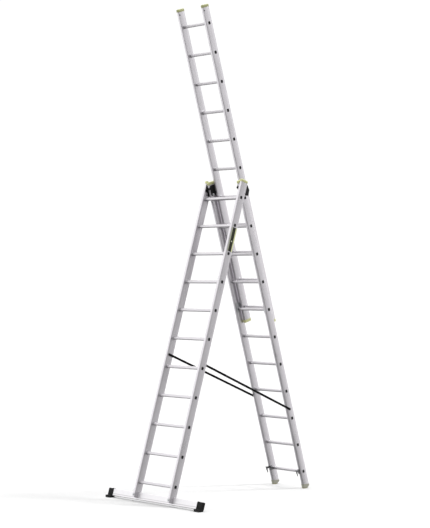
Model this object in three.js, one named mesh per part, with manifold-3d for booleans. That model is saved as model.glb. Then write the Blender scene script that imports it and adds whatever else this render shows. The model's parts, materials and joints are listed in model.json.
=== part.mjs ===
// Three-section aluminium combination ladder, set up as a free-standing A-frame with its fly
// section slid up. Millimetres; X runs along the rungs, Y from the front leg to the rear leg,
// Z up, floor at Z = 0. Each section is drawn upright on its own axes (x across, y through the
// stile, z along the stile) and is then leaned into place.
import * as THREE from "three";
import { mergeVertices } from "three/addons/utils/BufferGeometryUtils.js";
import Module from "manifold-3d";

// ---- rungs and stiles ----
const RUNGS = 11;
const PITCH = 280;
const RUNG_DEPTH = 25;
const RUNG_HEIGHT = 28;
const RUNG_CHAMFER = 7;
const RUNG_WALL = 1.5;
const STILE_DEPTH = 82;
const STILE_THICKNESS = 28;
const STILE_CORNER = 6;
const STILE_WALL = 1.6;
const STILE_ABOVE_TOP_RUNG = 150;

// ---- play between parts, overrun of cutting solids, and depth of joints between solids ----
const FIT = 0.3;
const CUT = 5;
const OVERLAP = 1;

// ---- how the sections stand ----
const FRONT_LEAN = THREE.MathUtils.degToRad(17.29);
const REAR_LEAN = THREE.MathUtils.degToRad(16.69);
const FOOT_SPREAD = 1829;
const PIVOT_OFFSET = 27.75;
const FLY_OFFSET = 55.5;

// foot: where the section's axis meets the floor; offset: how far the section stands behind that
// axis; lowRung and bottom: heights of the lowest rung and of the stile ends, along the section.
const FRONT = {
  name: "front", width: 521, lean: -FRONT_LEAN, foot: 0, offset: 0, lowRung: 185, bottom: 35,
};
const REAR = {
  name: "rear", width: 447, lean: REAR_LEAN, foot: FOOT_SPREAD, offset: 0, lowRung: 177.5, bottom: 28,
};
const FLY = {
  name: "fly", width: 373, lean: REAR_LEAN, foot: FOOT_SPREAD, offset: FLY_OFFSET, lowRung: 1862,
  bottom: 1735,
};

// ---- end caps and feet ----
const CAP_HEIGHT = 27;
const CAP_LIP = 0.4;
const CAP_ROUND = 8;
const CAP_STEPS = 2;
const PLUG_LENGTH = 30;
const FLY_FOOT_HEIGHT = 27;
const REAR_FOOT_LIP = 2;
const REAR_FOOT_HEIGHT = 42;
const REAR_FOOT_HEEL = THREE.MathUtils.degToRad(24);

// ---- stabiliser bar across the bottom of the front section ----
const BAR_HALF_LENGTH = 589;
const BAR_FRONT = 0.3;
const BAR_THICKNESS = 30;
const BAR_BOTTOM = 20;
const BAR_TOP = 88;
const BAR_WALL = 2;
const BAR_CORNER = 4;
const BAR_NOTCH_TOP = 89;
const BAR_GROOVE_WIDTH = 6;
const BAR_GROOVE_DEPTH = 0.8;
const BAR_GROOVE_SHARE = 0.22;
const BAR_SHOE_LENGTH = 70;
const BAR_SHOE_LIP = 2;
const BAR_SHOE_CORNER = 7;
const BAR_SHOE_CORE_CORNER = 2;
const BAR_SOLE_HEIGHT = 22;
const BAR_SOLE_FRONT = -22;
const BAR_SOLE_REAR = 33;

// ---- hinge brackets: outlines are [y, z] corners, z measured from the pivot ----
const PIN_RADIUS = 6;
const PIN_END = 178;
const FRONT_PLATE = 3.3;
const FRONT_PLATE_OUTLINE = [
  [-32, 10], [4, 6], [6, -16], [20, -24], [40, -20], [40, 74], [30, 82], [-24, 82], [-36, 72], [-36, 18],
];
const REAR_PLATE_INNER = 188.6;
const REAR_PLATE_OUTER = 194.6;
const BOSS_INNER = 182;
const BOSS_RADIUS = 11;
const CLAW_OUTER = 226.5;
const LIP_INNER = 170;
const LIP_FRONT = 97.5;
const LIP_REAR = 102;
const LIP_OUTLINE = [[LIP_FRONT, -12], [LIP_REAR, -12], [LIP_REAR, 10], [LIP_FRONT, 10]];
const CHEEK_OUTLINE = [
  [-39, -8], [-32, -14], [-20, -14], [-8, 6], [20, -22], [40, -26], [LIP_REAR, -12], [LIP_REAR, 10],
  [91, 22], [88, 44], [40, 88], [-24, 88], [-39, 72],
];
const CLAW_FRONT = STILE_DEPTH / 2 + FIT;
const CLAW_OUTLINE = [
  [CLAW_FRONT, -48], [46, -48], [62, -20], [74, 2], [67, 25], [66, 44], [52, 72], [CLAW_FRONT, 72],
];
const JAW_OUTLINE = [[8, -38], [44, -48], [44, 30], [16, 30]];

// ---- hooks: outlines are [y, z] corners; the fly hook's are measured from the top of the rear
// rung it holds, the rear hook's from the middle of the lowest rear rung ----
const FLY_HOOK_INNER = 186.8;
const REAR_HOOK_INNER = 190.8;
const HOOK_THICKNESS = 3.5;
const HOOK_CLEARANCE = 0.5;
const FLY_HOOK_RUNG = 5;
const FLY_HOOK_OUTLINE = [
  [24, -40], [62, -40], [62, 34], [48, 46], [-26, 46], [-34, 36], [-34, -46], [-16.5, -46],
  [-16.5, 0], [24, 0],
];
const REAR_HOOK_PRONG_INNER = 207.5;
const REAR_HOOK_BACK = -(STILE_DEPTH / 2 + FIT);
const REAR_HOOK_FRONT = REAR_HOOK_BACK - HOOK_THICKNESS;
const REAR_HOOK_PLATE = [
  [REAR_HOOK_FRONT, -14], [-16, -14], [-16, 30], [REAR_HOOK_FRONT, 30],
];
const REAR_HOOK_FLANGE = [
  [REAR_HOOK_FRONT, -14], [REAR_HOOK_BACK, -14], [REAR_HOOK_BACK, 34], [REAR_HOOK_FRONT, 34],
];
const REAR_HOOK_PRONG = [
  [REAR_HOOK_BACK, 34], [-64, 34], [-90, 46], [-87, 14], [-80, -20], [-76, -28], [-72, -20],
  [-72, 13], [REAR_HOOK_BACK, 13],
];

// ---- spreader straps: ends are [y, z] points on the front and rear sections ----
const STRAP_WIDTH = 22;
const STRAP_INNER = 227;
const STRAP_OUTER = 229;
const STRAPS = {
  right: { front: [-21, 1359], rear: [-2, 829] },
  left: { front: [-21, 1418], rear: [-2, 932] },
};

// ---- materials ----
const ALUMINIUM = { color: 0xc9ccd0, roughness: 0.42, metalness: 0.85 };
const STEEL = { color: 0x5a5d60, roughness: 0.45, metalness: 0.9 };
const BLACK_PLASTIC = { color: 0x161617, roughness: 0.55, metalness: 0 };
const YELLOW_PLASTIC = { color: 0xc8cf3a, roughness: 0.5, metalness: 0 };
const GREY_PLASTIC = { color: 0xb4b4ac, roughness: 0.55, metalness: 0 };
const RUBBER = { color: 0x101010, roughness: 0.85, metalness: 0 };
const WEBBING = { color: 0x141414, roughness: 0.9, metalness: 0 };

const wasm = await Module();
wasm.setup();
const group = new THREE.Group();
group.name = "combination_ladder";

// ---- solid helpers ----
function toSolid(geometry) {
  geometry.deleteAttribute("normal");
  geometry.deleteAttribute("uv");
  const welded = mergeVertices(geometry, 0.001);
  const vertProperties = Float32Array.from(welded.attributes.position.array);
  const triVerts = Uint32Array.from(welded.index.array);
  return new wasm.Manifold(new wasm.Mesh({ numProp: 3, vertProperties, triVerts }));
}

function toGeometry(solid) {
  const mesh = solid.getMesh();
  const geometry = new THREE.BufferGeometry();
  geometry.setAttribute("position", new THREE.BufferAttribute(mesh.vertProperties, 3));
  geometry.setIndex(new THREE.BufferAttribute(mesh.triVerts, 1));
  return geometry;
}

function box(x0, x1, y0, y1, z0, z1) {
  const geometry = new THREE.BoxGeometry(x1 - x0, y1 - y0, z1 - z0);
  geometry.translate((x0 + x1) / 2, (y0 + y1) / 2, (z0 + z1) / 2);
  return toSolid(geometry);
}

// Draws a rectangle with round corners on a path or shape.
function roundedOutline(path, width, height, radius) {
  const x = width / 2 - radius;
  const y = height / 2 - radius;
  path.absarc(x, y, radius, 0, Math.PI / 2);
  path.absarc(-x, y, radius, Math.PI / 2, Math.PI);
  path.absarc(-x, -y, radius, Math.PI, 1.5 * Math.PI);
  path.absarc(x, -y, radius, 1.5 * Math.PI, 2 * Math.PI);
  path.closePath();
  return path;
}

function extruded(shape, length, steps) {
  return new THREE.ExtrudeGeometry(shape, { depth: length, bevelEnabled: false, curveSegments: steps });
}

// A rounded bar standing along Z from z0 to z1, centred on the Z axis.
function standingBar(width, depth, radius, z0, z1, steps = 2) {
  const shape = roundedOutline(new THREE.Shape(), width, depth, radius);
  return toSolid(extruded(shape, z1 - z0, steps).translate(0, 0, z0));
}

// A rounded bar lying along X from x0 to x1; depth is its size in Y, height its size in Z.
function lyingBar(depth, height, radius, x0, x1, steps = 1) {
  const shape = roundedOutline(new THREE.Shape(), depth, height, radius);
  const geometry = extruded(shape, x1 - x0, steps).translate(0, 0, x0);
  return toSolid(geometry.rotateX(Math.PI / 2).rotateZ(Math.PI / 2));
}

// A flat plate between x0 and x1 whose outline is a list of [y, z] corners.
function sidePlate(corners, x0, x1) {
  const shape = new THREE.Shape(corners.map(([y, z]) => new THREE.Vector2(y, z)));
  const geometry = extruded(shape, x1 - x0, 1).translate(0, 0, x0);
  return toSolid(geometry.rotateX(Math.PI / 2).rotateZ(Math.PI / 2));
}

const moved = (outline, y, z) => outline.map(([dy, dz]) => [y + dy, z + dz]);

function pin(radius, y, z, x0, x1, sides = 20) {
  const geometry = new THREE.CylinderGeometry(radius, radius, x1 - x0, sides);
  geometry.rotateZ(Math.PI / 2);
  geometry.translate((x0 + x1) / 2, y, z);
  return toSolid(geometry);
}

function mirrored(geometry) {
  const copy = geometry.clone().scale(-1, 1, 1);
  const index = copy.index.array;
  for (let i = 0; i < index.length; i += 3) {
    [index[i], index[i + 1]] = [index[i + 1], index[i]];
  }
  return copy;
}

// ---- placing ----
function sectionMatrix(section) {
  const lean = new THREE.Matrix4().makeRotationX(section.lean);
  const shift = new THREE.Matrix4().makeTranslation(0, section.offset, 0);
  return new THREE.Matrix4().makeTranslation(0, section.foot, 0).multiply(lean).multiply(shift);
}

function addMesh(name, geometry, matrix, material) {
  const placed = geometry.clone().applyMatrix4(matrix);
  placed.computeVertexNormals();
  const mesh = new THREE.Mesh(placed, new THREE.MeshStandardMaterial(material));
  mesh.name = name;
  group.add(mesh);
}

// The solid is drawn on the right-hand (+X) side and mirrored for the left.
function addPair(name, solid, section, material) {
  const geometry = toGeometry(solid);
  const matrix = sectionMatrix(section);
  addMesh(`${name}_right`, geometry, matrix, material);
  addMesh(`${name}_left`, mirrored(geometry), matrix, material);
}

// ---- shared section measures ----
const stileCentre = (section) => section.width / 2 - STILE_THICKNESS / 2;
const rungZ = (section, number) => section.lowRung + PITCH * (RUNGS - number);
const stileTop = (section) => rungZ(section, 1) + STILE_ABOVE_TOP_RUNG;

// The two centre lines cross above the top rungs; the pivot is where a point is equally far
// (PIVOT_OFFSET) from both of them.
const crossing = FOOT_SPREAD / (Math.tan(FRONT_LEAN) + Math.tan(REAR_LEAN));
const halfAngle = (FRONT_LEAN + REAR_LEAN) / 2;
const pivotDrop = PIVOT_OFFSET / Math.tan(halfAngle);
const frontPivot = crossing / Math.cos(FRONT_LEAN) - pivotDrop;
const rearPivot = crossing / Math.cos(REAR_LEAN) - pivotDrop;

// ---- stiles: hollow box sections with the rungs passing through ----
function stileBlank(section) {
  const outer = roundedOutline(new THREE.Shape(), STILE_THICKNESS, STILE_DEPTH, STILE_CORNER);
  const innerRadius = STILE_CORNER - STILE_WALL;
  const inner = roundedOutline(
    new THREE.Path(), STILE_THICKNESS - 2 * STILE_WALL, STILE_DEPTH - 2 * STILE_WALL, innerRadius);
  outer.holes.push(inner);
  const geometry = extruded(outer, stileTop(section) - section.bottom, 2);
  return toSolid(geometry.translate(stileCentre(section), 0, section.bottom));
}

function rungHole(section, number) {
  const half = section.width / 2;
  const hole = lyingBar(
    RUNG_DEPTH + 2 * FIT, RUNG_HEIGHT + 2 * FIT, RUNG_CHAMFER, half - STILE_THICKNESS - CUT, half + CUT);
  return hole.translate([0, 0, rungZ(section, number)]);
}

function stile(section) {
  let solid = stileBlank(section);
  for (let number = 1; number <= RUNGS; number += 1) {
    solid = solid.subtract(rungHole(section, number));
  }
  return solid;
}

function frontStile() {
  const half = FRONT.width / 2;
  const notch = box(
    half - STILE_THICKNESS - CUT, half + CUT, 0, STILE_DEPTH, FRONT.bottom - CUT, BAR_NOTCH_TOP);
  return stile(FRONT).subtract(notch);
}

function rearStile() {
  const half = REAR.width / 2;
  const bore = pin(
    PIN_RADIUS + FIT, -PIVOT_OFFSET, rearPivot, half - STILE_THICKNESS - CUT, half + CUT);
  return stile(REAR).subtract(bore);
}

// ---- rungs: tubes with open ends, flush with the outer faces of the stiles ----
function addRungs(section) {
  const half = section.width / 2;
  const tube = lyingBar(RUNG_DEPTH, RUNG_HEIGHT, RUNG_CHAMFER, -half, half);
  const boreDepth = RUNG_DEPTH - 2 * RUNG_WALL;
  const boreHeight = RUNG_HEIGHT - 2 * RUNG_WALL;
  const bore = lyingBar(boreDepth, boreHeight, RUNG_CHAMFER - RUNG_WALL, -half - CUT, half + CUT);
  const geometry = toGeometry(tube.subtract(bore));
  for (let number = 1; number <= RUNGS; number += 1) {
    const raised = geometry.clone().translate(0, 0, rungZ(section, number));
    const label = String(number).padStart(2, "0");
    addMesh(`${section.name}_rung_${label}`, raised, sectionMatrix(section), ALUMINIUM);
  }
}

// ---- plastic ends of the stiles ----
function plug(section, z0, z1) {
  const gap = 2 * (STILE_WALL + FIT);
  const solid = standingBar(STILE_THICKNESS - gap, STILE_DEPTH - gap, STILE_CORNER - STILE_WALL, z0, z1, 1);
  return solid.translate([stileCentre(section), 0, 0]);
}

function topCap(section) {
  const top = stileTop(section) + FIT;
  let cap = plug(section, top - PLUG_LENGTH, top + OVERLAP);
  for (let step = 0; step <= CAP_STEPS; step += 1) {
    const angle = ((step / CAP_STEPS) * Math.PI) / 2;
    const inset = CAP_ROUND * (1 - Math.cos(angle)) - CAP_LIP;
    const rise = CAP_HEIGHT - CAP_ROUND + CAP_ROUND * Math.sin(angle);
    const layer = standingBar(
      STILE_THICKNESS - 2 * inset, STILE_DEPTH - 2 * inset, STILE_CORNER, top, top + rise);
    cap = cap.add(layer.translate([stileCentre(section), 0, 0]));
  }
  return cap;
}

function flyFoot() {
  const top = FLY.bottom - FIT;
  const shoe = standingBar(
    STILE_THICKNESS + 2 * CAP_LIP, STILE_DEPTH + 2 * CAP_LIP, STILE_CORNER, top - FLY_FOOT_HEIGHT, top);
  return shoe.translate([stileCentre(FLY), 0, 0]).add(plug(FLY, top - OVERLAP, top + PLUG_LENGTH));
}

// A sleeve on the end of the rear stile with a level top edge. The front half of its sole lies on
// the floor; the heel rises behind it, for standing the section the other way round.
function rearFoot() {
  const half = STILE_DEPTH / 2 + REAR_FOOT_LIP;
  const reach = half + CUT;
  const slope = Math.tan(REAR_LEAN);
  const top = REAR_FOOT_HEIGHT / Math.cos(REAR_LEAN);
  const profile = sidePlate(
    [[-reach, reach * slope], [0, 0], [reach, reach * Math.tan(REAR_FOOT_HEEL)],
      [reach, top - reach * slope], [-reach, top + reach * slope]],
    -STILE_THICKNESS, STILE_THICKNESS);
  const sleeve = standingBar(STILE_THICKNESS + 2 * REAR_FOOT_LIP, 2 * half, STILE_CORNER, -half, 2 * half);
  const seat = REAR.bottom - FIT;
  const socket = standingBar(
    STILE_THICKNESS + 2 * FIT, STILE_DEPTH + 2 * FIT, STILE_CORNER, seat, 3 * half);
  const shoe = sleeve.intersect(profile).subtract(socket).translate([stileCentre(REAR), 0, 0]);
  return shoe.add(plug(REAR, seat - OVERLAP, seat + PLUG_LENGTH));
}

// ---- stabiliser ----
function stabiliserBar() {
  const height = BAR_TOP - BAR_BOTTOM;
  const end = BAR_HALF_LENGTH;
  const cutEnd = end + CUT;
  const body = lyingBar(BAR_THICKNESS, height, BAR_CORNER, -end, end, 2);
  const bore = lyingBar(
    BAR_THICKNESS - 2 * BAR_WALL, height - 2 * BAR_WALL, BAR_CORNER - BAR_WALL, -cutEnd, cutEnd);
  let bar = body.subtract(bore);
  const front = -BAR_THICKNESS / 2;
  for (const side of [-1, 1]) {
    const low = side * BAR_GROOVE_SHARE * height - BAR_GROOVE_WIDTH / 2;
    const groove = box(
      -cutEnd, cutEnd, front - CUT, front + BAR_GROOVE_DEPTH, low, low + BAR_GROOVE_WIDTH);
    bar = bar.subtract(groove);
  }
  return bar.translate([0, BAR_FRONT + BAR_THICKNESS / 2, BAR_BOTTOM + height / 2]);
}

function leanFront(solid) {
  return solid.rotate([THREE.MathUtils.radToDeg(-FRONT_LEAN), 0, 0]);
}

// Rubber end shoe: a block over the end of the bar, a plug inside it and a level sole.
function stabiliserShoe() {
  const x0 = BAR_HALF_LENGTH + FIT;
  const x1 = x0 + BAR_SHOE_LENGTH;
  const height = BAR_TOP - BAR_BOTTOM;
  const barMiddle = [0, BAR_FRONT + BAR_THICKNESS / 2, BAR_BOTTOM + height / 2];
  const gap = 2 * (BAR_WALL + FIT);
  const block = lyingBar(
    BAR_THICKNESS + 2 * BAR_SHOE_LIP, height + 2 * BAR_SHOE_LIP, BAR_SHOE_CORNER, x0, x1);
  const core = lyingBar(
    BAR_THICKNESS - gap, height - gap, BAR_SHOE_CORE_CORNER, x0 - PLUG_LENGTH, x0 + OVERLAP);
  const sole = box(x0, x1, BAR_SOLE_FRONT, BAR_SOLE_REAR, 0, BAR_SOLE_HEIGHT);
  const underFloor = box(x0 - CUT, x1 + CUT, -STILE_DEPTH, STILE_DEPTH, -STILE_DEPTH, 0);
  return leanFront(block.add(core).translate(barMiddle)).subtract(underFloor).add(sole);
}

// ---- hinge ----
function frontHingeBracket() {
  const stileFace = FRONT.width / 2 - STILE_THICKNESS - FIT;
  const plate = sidePlate(moved(FRONT_PLATE_OUTLINE, 0, frontPivot), stileFace - FRONT_PLATE, stileFace);
  return plate.add(pin(PIN_RADIUS, PIVOT_OFFSET, frontPivot, PIN_END, stileFace - OVERLAP));
}

// A cheek inside the rear stile, a claw behind its rear edge, a jaw that laps onto its outer face,
// a lip that guides the fly stile and a boss for the hinge pin.
function rearHingeBracket() {
  const cheek = sidePlate(moved(CHEEK_OUTLINE, 0, rearPivot), REAR_PLATE_INNER, REAR_PLATE_OUTER);
  const claw = sidePlate(moved(CLAW_OUTLINE, 0, rearPivot), REAR_PLATE_OUTER - OVERLAP, CLAW_OUTER);
  const jaw = sidePlate(moved(JAW_OUTLINE, 0, rearPivot), REAR.width / 2 + FIT, CLAW_OUTER);
  const lip = sidePlate(moved(LIP_OUTLINE, 0, rearPivot), LIP_INNER, REAR_PLATE_INNER + OVERLAP);
  const boss = pin(BOSS_RADIUS, -PIVOT_OFFSET, rearPivot, BOSS_INNER, REAR_PLATE_INNER + OVERLAP, 24);
  const bore = pin(PIN_RADIUS + FIT, -PIVOT_OFFSET, rearPivot, BOSS_INNER - CUT, REAR_PLATE_OUTER + CUT);
  return cheek.add(claw).add(jaw).add(lip).add(boss).subtract(bore);
}

// ---- hooks ----
// The fly hooks reach forward from the fly stile over a rear rung.
function flyHook() {
  const seat = rungZ(REAR, FLY_HOOK_RUNG) + RUNG_HEIGHT / 2 + HOOK_CLEARANCE;
  const outline = moved(FLY_HOOK_OUTLINE, -FLY_OFFSET, seat);
  return sidePlate(outline, FLY_HOOK_INNER, FLY_HOOK_INNER + HOOK_THICKNESS);
}

// The rear hooks reach forward from the bottom of the rear section: a plate on the stile's inner
// face, a flange across its front face and a prong that stands off the flange.
function rearHook() {
  const outer = REAR_HOOK_PRONG_INNER + HOOK_THICKNESS;
  const shape = (outline, inner, end) => sidePlate(moved(outline, 0, REAR.lowRung), inner, end);
  const plate = shape(REAR_HOOK_PLATE, REAR_HOOK_INNER, REAR_HOOK_INNER + HOOK_THICKNESS);
  const flange = shape(REAR_HOOK_FLANGE, REAR_HOOK_INNER, outer);
  return plate.add(flange).add(shape(REAR_HOOK_PRONG, REAR_HOOK_PRONG_INNER, outer));
}

// ---- straps ----
function sectionPoint(section, [y, z]) {
  return new THREE.Vector3(0, y, z).applyMatrix4(sectionMatrix(section));
}

function addStrap(side, sign) {
  const start = sectionPoint(FRONT, STRAPS[side].front);
  const end = sectionPoint(REAR, STRAPS[side].rear);
  const along = end.clone().sub(start).normalize();
  const across = new THREE.Vector3(0, -along.z, along.y).multiplyScalar(STRAP_WIDTH / 2);
  const corners = [
    start.clone().sub(across), end.clone().sub(across), end.clone().add(across), start.clone().add(across),
  ].map((corner) => [corner.y, corner.z]);
  const geometry = toGeometry(sidePlate(corners, STRAP_INNER, STRAP_OUTER));
  addMesh(`strap_${side}`, sign > 0 ? geometry : mirrored(geometry), new THREE.Matrix4(), WEBBING);
}

// ---- assembly ----
addPair("front_stile", frontStile(), FRONT, ALUMINIUM);
addPair("rear_stile", rearStile(), REAR, ALUMINIUM);
addPair("fly_stile", stile(FLY), FLY, ALUMINIUM);
[FRONT, REAR, FLY].forEach(addRungs);
addPair("front_top_cap", topCap(FRONT), FRONT, YELLOW_PLASTIC);
addPair("fly_top_cap", topCap(FLY), FLY, YELLOW_PLASTIC);
addPair("rear_foot", rearFoot(), REAR, GREY_PLASTIC);
addPair("fly_foot", flyFoot(), FLY, YELLOW_PLASTIC);
addMesh("stabiliser_bar", toGeometry(stabiliserBar()), sectionMatrix(FRONT), ALUMINIUM);
const upright = { lean: 0, foot: 0, offset: 0 };
addPair("stabiliser_shoe", stabiliserShoe(), upright, RUBBER);
addPair("front_hinge_bracket", frontHingeBracket(), FRONT, BLACK_PLASTIC);
addPair("rear_hinge_bracket", rearHingeBracket(), REAR, BLACK_PLASTIC);
addPair("fly_hook", flyHook(), FLY, STEEL);
addPair("rear_hook", rearHook(), REAR, STEEL);
addStrap("right", 1);
addStrap("left", -1);

// The origin is the middle of the footprint, on the floor.
const bounds = new THREE.Box3().setFromObject(group);
const centre = bounds.getCenter(new THREE.Vector3());
group.children.forEach((mesh) => mesh.geometry.translate(-centre.x, -centre.y, -bounds.min.z));

export default group;
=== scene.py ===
"""Looks of a three-section combination ladder: materials, small fittings, webbing, light and camera."""
import json
import math
import bmesh
import bpy
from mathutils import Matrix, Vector


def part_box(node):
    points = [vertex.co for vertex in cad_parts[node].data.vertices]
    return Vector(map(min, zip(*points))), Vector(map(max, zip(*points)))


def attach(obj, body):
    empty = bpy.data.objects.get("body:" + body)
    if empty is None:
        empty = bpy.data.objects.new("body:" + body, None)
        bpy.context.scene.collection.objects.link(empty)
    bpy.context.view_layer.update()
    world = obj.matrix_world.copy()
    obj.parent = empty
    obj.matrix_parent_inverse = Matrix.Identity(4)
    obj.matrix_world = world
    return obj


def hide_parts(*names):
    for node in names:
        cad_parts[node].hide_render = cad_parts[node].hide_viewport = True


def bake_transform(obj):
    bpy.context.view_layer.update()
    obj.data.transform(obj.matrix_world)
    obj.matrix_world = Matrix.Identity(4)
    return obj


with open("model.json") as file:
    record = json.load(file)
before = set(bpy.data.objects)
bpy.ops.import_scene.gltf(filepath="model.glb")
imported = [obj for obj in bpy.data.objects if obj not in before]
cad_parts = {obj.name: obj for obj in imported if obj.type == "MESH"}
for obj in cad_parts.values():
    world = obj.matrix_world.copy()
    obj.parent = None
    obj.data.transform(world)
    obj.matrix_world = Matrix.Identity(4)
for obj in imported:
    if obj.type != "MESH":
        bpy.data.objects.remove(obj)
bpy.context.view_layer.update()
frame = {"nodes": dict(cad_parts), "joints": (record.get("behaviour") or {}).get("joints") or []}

# ---- measures, in metres; an _EDGE pair says where a soft step starts and ends ----
RUNGS = 11
SIDES = {"right": 1, "left": -1}
ACROSS = Vector((1, 0, 0))

STILE_DEPTH = 0.082
STILE_CORNER = 0.006
STILE_THICKNESS = 0.028
STILE_WALL = 0.0016
GRIP_GROOVE_OFF_CENTRE = 0.0055
GRIP_GROOVE_EDGE = (0.0019, 0.0009)
SIDE_STEP_OFF_MIDDLE = 0.031
SIDE_STEP_EDGE = (0.0014, 0.0005)
NARROW_FACE_EDGE = (0.0385, 0.0398)
NARROW_WEAR_EDGE = (0.0365, 0.0395)
SIDE_FACE_EDGE = (0.0125, 0.0135)
SIDE_WEAR_EDGE = (0.0095, 0.0125)
SIDE_CROWN = {"front": 0.0005, "rear": 0.0014, "fly": 0.0020}
CROWN_STARTS = {"front": -1.0, "rear": -1.0, "fly": 0.0}
RUNG_DEPTH = 0.025
RUNG_HEIGHT = 0.028
RUNG_CORNER = 0.007
RUNG_WALL = 0.0015
TREAD_EDGE = (0.0122, 0.0134)
TREAD_RIB_PITCH = 0.0031
FACE_RIB_PITCH = 0.0056

COLLAR_WIDTH = 0.0024
COLLAR_RISE = 0.0018
COLLAR_STEPS = 6
PLUG_RECESS = 0.0012
PLUG_LENGTH = 0.012
PLUG_GAP = 0.0003
PLUG_FLANGE = 0.0014
PLUG_OVERLAP = 0.0008
PLUG_DISH = ((-0.0005, 0.0), (0.0, -0.0006), (0.0, -0.0024), (-0.0007, -0.004))

CAP_ABOVE_TOP_RUNG = 0.150
CAP_HEIGHT = 0.027
CAP_ROUND = 0.008
CAP_ROUND_STEPS = 8
CAP_LIP = 0.0004
CAP_LIP_START = 0.0008
CORNER_SLACK = 0.0002
FOOT_TREAD = 0.007
FOOT_TREAD_BLUR = 0.0006
FOOT_SCUFF_EDGE = (0.02, 0.0)

BAR_GROOVE_LOW = 0.015
BAR_GROOVE_EDGE = (0.0036, 0.0028)
BAR_LOW_EDGE = (-0.0290, -0.0325)
SHOE_LENGTH = 0.070
SHOE_DEPTH = 0.034
SHOE_HEIGHT = 0.072
SHOE_CORNER = 0.007
SHOE_RIM_START = 0.003
SHOE_RIM_LENGTH = 0.009
SHOE_RIM_RISE = 0.0022
SHOE_RIM_ROUND = 0.001
SHOE_RIB_PITCH = 0.011
SHOE_DUST_EDGE = (0.03, 0.0)
BOLT_ABOVE_BAR_MIDDLE = 0.006
BAR_BOLT = (0.0095, 0.006)
INSERT_ABOVE_BAR_MIDDLE = 0.0355
INSERT_HEIGHT = 0.012

# ---- small fittings: a nut, rivet, pin or bolt head is a (radius, height) pair ----
DOME_RIM = 0.25
DOME_TIP = 0.08
WASHER_SHAPE = ((1.28, 0.0), (1.32, 0.125), (1.26, 0.25))
HEAD_SHAPE = ((1.0, 0.225), (1.0, 0.85), (0.82, 1.0))
CAP_PIN = (0.0125, 0.020)
CAP_PIN_INWARD = 0.006
CAP_PIN_BELOW_CAP = 0.036
CAP_BOLT = (0.0065, 0.0015)
CAP_BOLT_BELOW_CAP = 0.028
CAP_BOLT_FROM_FRONT = 0.011
BRACKET_PLATE = 0.0033
BRACKET_RIVET = (0.005, 0.002)
BRACKET_RIVET_PLACES = ((-0.03, 0.035), (0.025, 0.07), (-0.025, 0.07))
PIVOT_NUT = (0.0075, 0.005)
CHEEK_FROM_LIP = 0.0186
CHEEK_RIBS = 5
CHEEK_RIB_WIDTH = 0.0026
CHEEK_RIB_LENGTH = 0.046
CHEEK_RIB_CORNER = 0.0012
CHEEK_RIB_START = -0.005
CHEEK_RIB_PITCH = 0.0075
CHEEK_RIB_ABOVE_PIVOT = 0.046
CHEEK_RIB_LEVELS = ((0.0005, 1.0), (-0.0011, 1.0), (-0.0015, 0.8))
FLY_HOOK_RIVET = (0.0055, 0.0022)
FLY_HOOK_RIVETS_THROUGH = -0.014
FLY_HOOK_RIVETS_UP = (-0.018, 0.042)
REAR_HOOK_RIVET = (0.0055, 0.0004)
REAR_HOOK_RIVETS_THROUGH = -0.029
REAR_HOOK_RIVETS_UP = (-0.004, 0.020)

WEBBING_THICKNESS = 0.0018
WEBBING_WIDTH = 0.022
WEBBING_STEP = 0.012
WEBBING_WAVES = ((0.02, 95), (0.015, 41))
WEBBING_FOLD = 0.045
FOLD_THICKNESS = WEBBING_THICKNESS * 1.7
TWILL_RIB_PITCH = 0.0022
TWILL_YARN_PITCH = 0.0013
STUD_RADIUS = 0.0075
STUD_HEAD = 0.0016
STUD_STEM = 0.0040
STUD_FROM_END = 0.012

LABEL_LENGTH = 0.236
LABEL_WIDTH = 0.063
LABEL_REARWARD = 0.003
LABEL_CORNER = 0.003
LABEL_PANEL = (-0.0155, 0.0215)
LABEL_BLUR = 0.0005
LABEL_BAR_PITCH = 0.024
LABEL_BAR_SLANT = 0.5
LABEL_BAND_EDGE = (0.0135, 0.012)
LABEL_BAND_ENDS = (LABEL_LENGTH * 0.42, LABEL_LENGTH * 0.41)
LABEL_SPOT_LOW = 0.018
LABEL_SPOT_RADIUS = 0.007
LABEL_SPOT_BLUR = 0.0004
LABEL_THICKNESS = 0.0004

# ---- camera and backdrop ----
CAMERA_PLACE = (10.7843, -10.1778, 2.1100)
CAMERA_YAW = math.radians(47.0225)
CAMERA_TILT_UP = math.radians(0.4226)
CAMERA_LENS = 104.924
BACKDROP_RADIUS = 150
BACKDROP_SHARE = 0.98
BACKDROP_GLOW = 1.02

# ---- edges: radii in metres, and the angles above which an edge shows ----
STILE_EDGE_RADIUS = 0.0003
BAR_EDGE_RADIUS = 0.0004
FOOT_EDGE_RADIUS = 0.0006
SHOE_EDGE_RADIUS = 0.0012
FRONT_BRACKET_EDGE_RADIUS = 0.0004
REAR_BRACKET_EDGE_RADIUS = 0.0008
HOOK_EDGE_RADIUS = 0.0005
CAD_SHARP_ANGLE = math.radians(50)
PIECE_SHARP_ANGLE = math.radians(35)
BEVEL_SEGMENTS = 2
WELD_DISTANCE = 0.00001

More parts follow.
